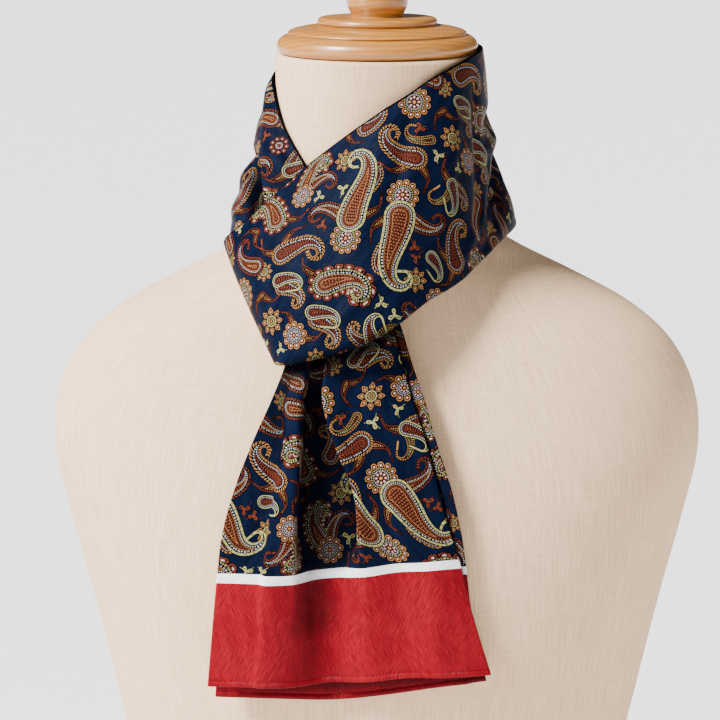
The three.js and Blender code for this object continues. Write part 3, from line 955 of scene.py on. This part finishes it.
def cap_rings():
    """The cap's rings, lowest first, from its profile without the middle of its underside."""
    _, profile = CAP
    profile = smooth(profile[1:], np.linspace(0, len(profile) - 2, CAP_FINER * len(profile)))
    turn = np.linspace(0, 2 * math.pi, CAP_SIDES, endpoint=False)[None, :]
    radius, up = (profile[:, k][:, None] for k in (0, 1))
    return np.stack([radius * np.cos(turn), radius * np.sin(turn), CAP_SEAT + up + 0 * turn], -1)


# ---- materials


def plain(name, colour, roughness):
    """A material of one colour, for the floor."""
    material = bpy.data.materials.new(name)
    material.use_nodes = True
    shader = material.node_tree.nodes["Principled BSDF"]
    shader.inputs["Base Color"].default_value = (*colour, 1)
    shader.inputs["Roughness"].default_value = roughness
    return material


def noise(across, along_it, detail=2.0):
    """Soft noise at a place given by two numbers."""
    join = Field.tree.nodes.new("ShaderNodeCombineXYZ")
    plug(join.inputs[0], across)
    plug(join.inputs[1], along_it)
    texture = Field.tree.nodes.new("ShaderNodeTexNoise")
    texture.inputs["Scale"].default_value = 1
    texture.inputs["Detail"].default_value = detail
    Field.tree.links.new(join.outputs[0], texture.inputs["Vector"])
    return Field(texture.outputs[0])


def brushed(q, p, degrees, length, width):
    """Streaks of a length and width in millimetres that lie at an angle on the cloth."""
    c, s = math.cos(math.radians(degrees)), math.sin(math.radians(degrees))
    return noise((q * c + p * s) / length, (p * c - q * s) / width)


def eased(value, low, high):
    """The soft step that blend makes, of a field."""
    node = Field.tree.nodes.new("ShaderNodeMapRange")
    node.interpolation_type = "SMOOTHSTEP"
    plug(node.inputs["Value"], value)
    node.inputs["From Min"].default_value = low
    node.inputs["From Max"].default_value = high
    return Field(node.outputs[0])


RED = (0.205, 0.0021, 0.0082)
WHITE = (0.88, 0.88, 0.89)
STRIPE_TOP, STRIPE_FOOT = 319.4, 313.7
# The height stored on cloth that has no stripe or end.
PLAIN_CLOTH = 1000.0
# How far down from a strand's top edge its colour is painted dark: painted shade on its rolled edge.
EDGE_WIDTH = 0.9
# Half the width of the stitched line above a tail's hem, and the share it is painted darker by: painted shade
# in its groove.
STITCH_HALF, STITCH_SHADE = 0.3, 0.25


def scaled(colour, share):
    return tuple(part * share for part in colour)


def satin(name, gloss):
    """The printed satin, with its stripe and red end, and with the piece's own painted shade over it."""
    material, shader = new_shader(name)
    q, p, level = parts_of("cloth")
    trim, hem, shade = parts_of("trim")
    patches = eased(noise(q / 26, p / 26, 1.0), 0.42, 0.58)
    fine = brushed(q, p, 24, 7, 0.6) * patches + brushed(q, p, -27, 8, 0.66) * (1 - patches)
    broad = brushed(q, p, 8, 40, 6)
    # The streaks lighten and darken the navy ground: partly the weave's own tone, partly painted satin sheen
    # and light.
    ground = mixed(eased(fine + broad, 0.8, 1.25), scaled(NAVY, 0.7), scaled(NAVY, 1.35))
    colour = motif_colour(1, motif_colour(0, ground))
    # Painted shade: a dark line along each strand's top edge, where the rolled edge turns from the light.
    colour = mixed((trim < EDGE_WIDTH) * (level > PLAIN_CLOTH / 2), colour, PALETTE[0])
    streaks = eased(fine * 0.75 + broad * 0.25, 0.4, 0.6)
    # The red is streaked the same way: partly the weave's own tone, partly painted satin sheen and light.
    red = mixed(streaks, scaled(RED, 0.78), scaled(RED, 1.24))
    in_end = level < STRIPE_TOP
    colour = mixed(in_end, colour, WHITE)
    colour = mixed(level < STRIPE_FOOT, colour, red)
    # Painted shade in the groove of the hem's stitched line.
    seam = (size_of(hem - HEM_DEPTH) < STITCH_HALF) * in_end
    colour = mixed(seam * STITCH_SHADE, colour, PALETTE[0])
    # Painted shade: the piece's shade share mixes its colour towards the outline navy.
    colour = mixed(shade, colour, PALETTE[0])
    coloured(shader, colour, {"Roughness": 0.4, "Specular IOR Level": gloss})
    weave = noise(q / 0.9, p / 0.9, 1.0)
    raised(shader, fine * (0.6 + 0.9 * in_end) + weave * 0.3, 0.0008, 0.8)
    return material


def new_shader(name):
    """A new node material and its shader, with its tree ready for sums."""
    material = bpy.data.materials.new(name)
    material.use_nodes = True
    Field.tree = material.node_tree
    return material, Field.tree.nodes["Principled BSDF"]


def coloured(shader, colour, settings):
    """A shader's colour from nodes, and its constant settings."""
    Field.tree.links.new(colour, shader.inputs["Base Color"])
    for name, value in settings.items():
        shader.inputs[name].default_value = value


def raised(shader, height, distance, strength):
    """Bump on a shader from a height, over a distance in metres."""
    bump = Field.tree.nodes.new("ShaderNodeBump")
    bump.inputs["Distance"].default_value = distance
    bump.inputs["Strength"].default_value = strength
    plug(bump.inputs["Height"], height)
    Field.tree.links.new(bump.outputs[0], shader.inputs["Normal"])


LINEN_LIGHT = (0.87, 0.60, 0.375)
LINEN_DARK = (0.65, 0.425, 0.25)
LINEN_SLUB = (0.55, 0.38, 0.24)
LINEN_SHADE = (0.16, 0.085, 0.04)
WOOD_LIGHT = (0.43, 0.178, 0.026)
WOOD_DARK = (0.29, 0.098, 0.012)
WOOD_PORE = (0.16, 0.040, 0.006)


def linen():
    """Cream linen: fine upright threads, fainter ones across and a few upright slubs, with painted shade over
    it.
    """
    material, shader = new_shader("linen")
    around_it, up, shade = parts_of("cloth")
    upright = noise(around_it / 0.55, up / 22, 1.0)
    across = noise(around_it / 16, up / 0.6, 1.0)
    slub = eased(noise(around_it / 0.9, up / 30, 0.0), 0.62, 0.8)
    thread = upright * 0.65 + across * 0.35
    colour = mixed(eased(thread, 0.3, 0.7), LINEN_DARK, LINEN_LIGHT)
    colour = mixed(slub * 0.35, colour, LINEN_SLUB)
    # Painted shade, towards LINEN_SHADE.
    colour = mixed(shade, colour, LINEN_SHADE)
    coloured(shader, colour, {"Roughness": 0.9, "Specular IOR Level": 0.15})
    raised(shader, thread, 0.0005, 0.55)
    return material


def turned_wood():
    """Honey-coloured varnished wood, its grain from side to side with a swirl at the rim's right."""
    material, shader = new_shader("turned_wood")
    x, y, z = parts_of("cloth")
    wander = noise(x / 45, y / 30 + z / 30, 1.0) * 9
    swirl = round_distance((x - 38) / 2.2, z - 618)
    heart = eased(swirl, 9, 3)
    ring = round_distance(y * 0.45 + 70, z * 1.6 - 900 + wander) - heart * swirl * 0.5
    grain = sum_of("SINE", ring * 1.5) * 0.5 + 0.5
    pores = noise(x / 9, y / 1.1 + z / 0.8, 2.0)
    colour = mixed(grain * 0.55 + pores * 0.3, WOOD_LIGHT, WOOD_DARK)
    colour = mixed(eased(pores, 0.62, 0.75) * 0.45, colour, WOOD_PORE)
    coloured(shader, colour, {"Roughness": 0.38, "Coat Weight": 0.35, "Coat Roughness": 0.14})
    raised(shader, pores, 0.0002, 0.2)
    return material


# The gloss is low: more of it greys the navy.
SATIN = satin("scarf_satin", 0.013)
END_SATIN = satin("scarf_end_satin", 0.055)
LINEN = linen()
WOOD = turned_wood()

# ---- the pieces

# A piece's own shade darkens it where little light comes, by these shares at most. On the back tail
# the line's share adds to the back's, and the one under the hem to the end's.
PANEL_FOOT_SHADE = 0.6
GAP_SHADE = 0.85
PLEAT_SHADE, BESIDE_SHADE, VALLEY_SHADE, LEANING_SHADE, UNDER_PANEL_SHADE = 0.72, 0.6, 0.62, 0.35, 0.85
BACK_SHADE, EDGE_LINE_SHADE, BACK_END_SHADE, UNDER_HEM_SHADE = 0.2, 0.75, 0.3, 0.4
NECK_SHADE = 0.26
# The heights between which shades come in or go.
PLEAT_HEIGHTS, BESIDE_HEIGHTS, VALLEY_HEIGHTS, LINE_HEIGHTS = (308, 326), (372, 415), (258, 292), (300, 330)
NECK_HEIGHTS = (505, 540)


def within(x, low, low_end, high, high_end):
    """1 between low_end and high, with a soft step on each side."""
    return blend(x, low, low_end) * (1 - blend(x, high, high_end))


def wrap_shade(grid):
    """Painted shade along the foot of the front panel, where it rolls under."""
    x, y = grid[..., 0], grid[..., 1]
    to_foot = MAIN_DEPTH / WEAVE_STEP - np.arange(grid.shape[1])
    return PANEL_FOOT_SHADE * (1 - blend(to_foot, -1, 4)) * (y < -90) * within(x, -62, -48, 0, 20)


def fold_shade(grid):
    """Painted shade at the front of the lower fold, in the gap under the left strand."""
    return GAP_SHADE * blend(grid[..., 0], -81, -75) * blend(-grid[..., 1], 15, 30)


# The rows of the main run whose feet hang over the front tail.
FOOT_ROWS = (19, 27)


def panel_foot_height(x):
    """The height of the front panel's foot, at places across."""
    columns, values = MAIN_RUN
    row = named(columns, values[slice(*FOOT_ROWS)])
    feet = around(row["foot_turn"], row["foot_out"], row["foot_up"])[::-1]
    return np.interp(x, feet[:, 0], feet[:, 2])


def front_shade(grid, row):
    """Painted shade in and beside the front tail's pleats and its red end's valley, and painted shadow under
    the panel's foot.
    """
    row = {name: value[:, None] for name, value in row.items()}
    x, behind = grid[..., 0], grid[..., 1] + row["face"]
    above = blend(row["up"], *PLEAT_HEIGHTS)
    in_pleat = within(x, row["narrow_right"] - 1, row["narrow_right"] + 2, row["fold"] - 1, row["fold"] + 3)
    pleat = PLEAT_SHADE * above * in_pleat * blend(behind, 1.5, 7)
    beside = BESIDE_SHADE * blend(x, row["narrow_left"] - 16, row["narrow_left"] - 2)
    beside = beside * (x < row["narrow_left"] + 1) * blend(row["up"], *BESIDE_HEIGHTS)
    before_fold = (1 - above) * (1 - blend(x, row["deep"] - 3, row["fold"] + 2))
    valley = VALLEY_SHADE * before_fold * blend(x, row["narrow_right"] - 3, row["narrow_right"] + 3)
    valley = valley * blend(row["up"], *VALLEY_HEIGHTS)
    leaning = LEANING_SHADE * before_fold * blend(x, row["narrow_left"] - 6, row["narrow_right"] - 2)
    under_panel = UNDER_PANEL_SHADE * (1 - blend(panel_foot_height(x) - grid[..., 2], 8, 17))
    return np.maximum(np.maximum(pleat, np.maximum(valley, leaning)) + beside, under_panel)


def back_shade(grid, row):
    """Painted shade a little all over, and painted shadow in a line at the front tail's right edge and below
    its hem.
    """
    columns, values = FRONT_TAIL
    x, up = grid[..., 0], row["up"][:, None]
    front = named(columns, values[::-1])
    past = x - np.interp(up, front["up"], front["right"])
    line = EDGE_LINE_SHADE * within(past, -8, -2, 0.5, 3) * blend(up, *LINE_HEIGHTS)
    front_hem = front["up"][0] + front["skew"][0] * blend(x, *FRONT_SKEW)
    below_hem = front_hem - grid[..., 2]
    end = (BACK_END_SHADE + UNDER_HEM_SHADE * (1 - blend(below_hem, 3, 8))) * blend(below_hem, -20, 0)
    return np.maximum(BACK_SHADE + line, end)


TILE_MOTIFS = tossed_tile()

main_grid = strand_grid(MAIN_RUN, MAIN_DEPTH, MAIN_CREASES)
plain_cloth = np.full(len(main_grid), PLAIN_CLOTH)
scarf_wrap = cloth_piece("scarf_wrap", main_grid, plain_cloth, TILE_MOTIFS, (0, 0), wrap_shade(main_grid))
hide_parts("scarf_left_strand", "scarf_neck_band", "scarf_front_panel", "scarf_loop_return")
fold_grid = strand_grid(LOWER_FOLD, FOLD_DEPTH, FOLD_CREASES)
plain_cloth = np.full(len(fold_grid), PLAIN_CLOTH)
scarf_lower_fold = cloth_piece(
    "scarf_lower_fold", fold_grid, plain_cloth, TILE_MOTIFS, (40, 60), fold_shade(fold_grid))
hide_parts("scarf_left_fold")
FRONT_WIDTH, BACK_WIDTH = 200, 170
grid, row = tail_grid(FRONT_TAIL, front_outline, FRONT_SKEW, FRONT_WIDTH)
front_tail = cloth_piece("scarf_tail_front", grid, row["up"], TILE_MOTIFS, (20, 30), front_shade(grid, row))
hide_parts("scarf_front_tail")
grid, row = tail_grid(BACK_TAIL, back_outline, BACK_SKEW, BACK_WIDTH)
back_tail = cloth_piece("scarf_tail_back", grid, row["up"], TILE_MOTIFS, (95, 85), back_shade(grid, row))
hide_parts("scarf_back_tail")
for piece in (scarf_wrap, scarf_lower_fold):
    piece.data.materials.append(SATIN)
for piece in (front_tail, back_tail):
    piece.data.materials.append(SATIN)
    piece.data.materials.append(END_SATIN)
    places = np.zeros(len(piece.data.vertices) * 3)
    piece.data.attributes["cloth"].data.foreach_get("vector", places)
    level = places.reshape(-1, 3)[:, 2]
    for face in piece.data.polygons:
        face.material_index = int(min(level[k] for k in face.vertices) < STRIPE_TOP)

rings = form_rings()
form = solid_of_rings("form_linen", rings)
x, y, up = (rings[..., k] for k in range(3))
# The threads are counted round a radius that grows from the neck's to about the chest's.
neck_radius, chest_radius = 62, 150
girth = neck_radius + (chest_radius - neck_radius) * blend(up, 520, 470)
# Painted shade down the front of the neck, to the right of its lit side.
neck_shade = NECK_SHADE * within(x, -38, 0, 8, 42) * blend(up, *NECK_HEIGHTS) * blend(-y, 0, 20)
weave = np.stack([np.arctan2(x, -y) * girth, up, neck_shade], -1).reshape(-1, 3)
store(form.data, "cloth", "POINT", np.concatenate([weave, weave[:2]]))
form.data.materials.append(LINEN)
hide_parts("form_body")
rings = cap_rings()
cap = solid_of_rings("cap_wood", rings)
places = rings.reshape(-1, 3)
store(cap.data, "cloth", "POINT", np.concatenate([places, places[:1], places[-1:]]))
cap.data.materials.append(WOOD)
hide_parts("neck_cap")

# ---- camera, floor and light

SENSOR = 36
FRAME_WIDTH = 446.4
DISTANCE = 2000
PITCH = math.radians(10.5)
AIM = np.array([-10.5, 0, 423])

camera = placed("camera", bpy.data.cameras.new("camera"))
camera.location = (AIM + DISTANCE * np.array([0, -math.cos(PITCH), math.sin(PITCH)])) * MM
camera.rotation_euler = (math.pi / 2 - PITCH, 0, 0)
camera.data.sensor_width = SENSOR
camera.data.lens = SENSOR * DISTANCE / FRAME_WIDTH
bpy.context.scene.camera = camera


def area_light(name, place, aim, size, power):
    """A soft box at a place, turned to where it aims, both in millimetres."""
    lamp = bpy.data.lights.new(name, "AREA")
    lamp.shape = "RECTANGLE"
    lamp.size, lamp.size_y = size
    lamp.energy = power
    light = placed(name, lamp)
    place, aim = np.array(place) * MM, np.array(aim) * MM
    light.location = place
    direction = aim - place
    rise = math.atan2(direction[2], math.hypot(direction[0], direction[1]))
    light.rotation_euler = (math.pi / 2 + rise, 0, math.atan2(-direction[0], direction[1]))


CHEST = (0, 0, 430)
area_light("left_box", (-1500, -900, 1100), CHEST, (0.8, 1.4), 22)
area_light("right_box", (1500, -700, 1000), CHEST, (0.7, 1.4), 5)

sun = bpy.data.lights.new("window", "SUN")
sun.energy = 11.6
sun.angle = math.radians(16)
window = placed("window", sun)
window.rotation_euler = (math.radians(43), 0, math.radians(-61))

world = bpy.data.worlds.new("room")
bpy.context.scene.world = world
world.use_nodes = True
background = world.node_tree.nodes["Background"]
background.inputs["Color"].default_value = (0.98, 0.98, 1, 1)
background.inputs["Strength"].default_value = 0.14

FLOOR_REACH, FLOOR_DROP = 40, 0.0005
floor_mesh = bpy.data.meshes.new("floor")
corners = [(x * FLOOR_REACH, y * FLOOR_REACH, -FLOOR_DROP) for x, y in ((-1, -1), (1, -1), (1, 1), (-1, 1))]
floor_mesh.from_pydata(corners, [], [(0, 1, 2, 3)])
floor = placed("floor", floor_mesh)
floor.data.materials.append(plain("floor", (0.93, 0.92, 0.925), 0.9))
